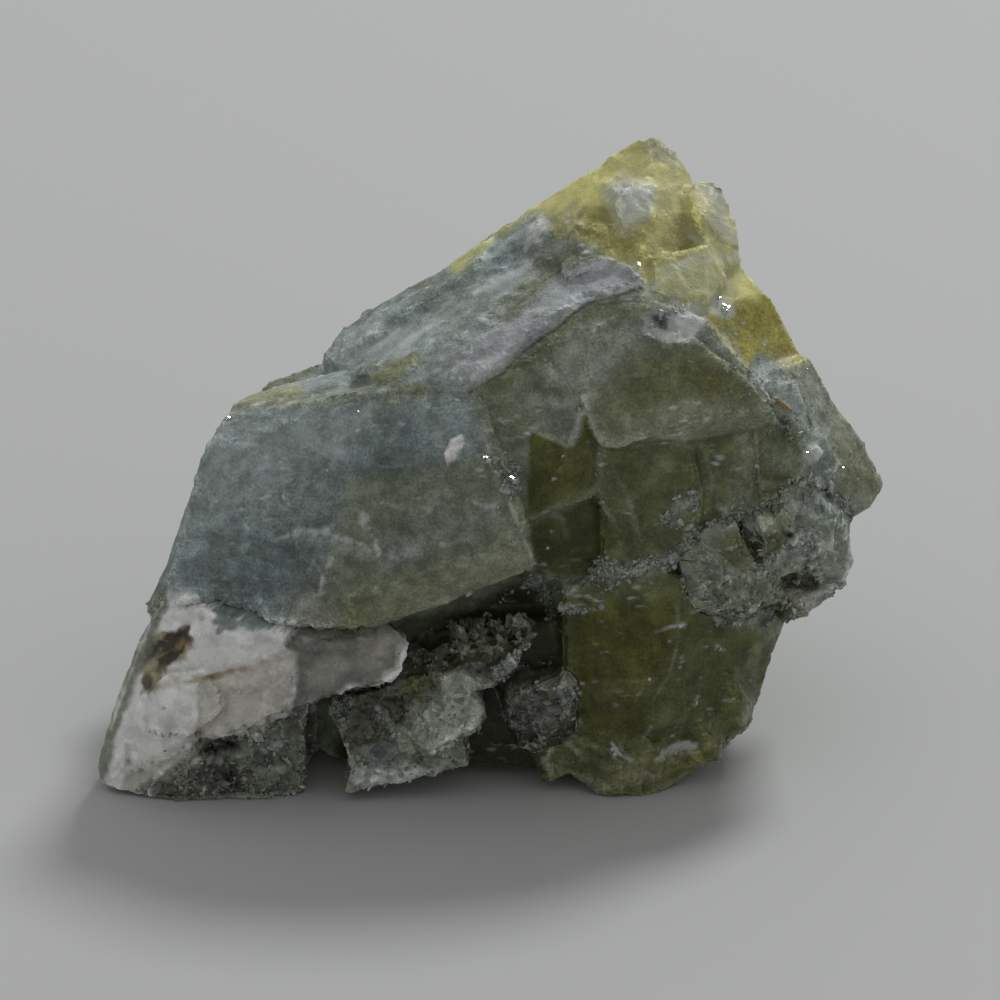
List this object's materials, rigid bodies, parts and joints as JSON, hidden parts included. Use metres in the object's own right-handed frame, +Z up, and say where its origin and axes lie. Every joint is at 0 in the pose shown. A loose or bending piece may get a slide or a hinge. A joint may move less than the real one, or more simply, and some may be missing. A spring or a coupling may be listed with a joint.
{
  "type": "fluorite with quartz mineral specimen",
  "caption": "Broken chunk of green and yellow fluorite with a milky quartz vein and sparkling quartz crusts, standing on its own foot.",
  "frame": {"origin": "middle of the footprint box, on the surface the stone stands on", "axes": "+X across the stone towards the olive standing cube and the right shoulder, +Y towards its back, +Z up"},
  "size_m": [0.0598, 0.0366, 0.0462],
  "materials": {
    "fluorite": "translucent green and yellow fluorite with glassy cleavage faces and dull broken ones",
    "milky_quartz": "milky white, matt, with rust stains",
    "quartz_druse": "grey, sparkling crust of small crystals"
  },
  "bodies": {
    "root": {"fluorite": "fluorite", "milky_quartz": "milky_quartz", "quartz_crust_front": "quartz_druse", "quartz_crust_right": "quartz_druse", "quartz_crust_hollow": "quartz_druse"}
  },
  "joints": []
}
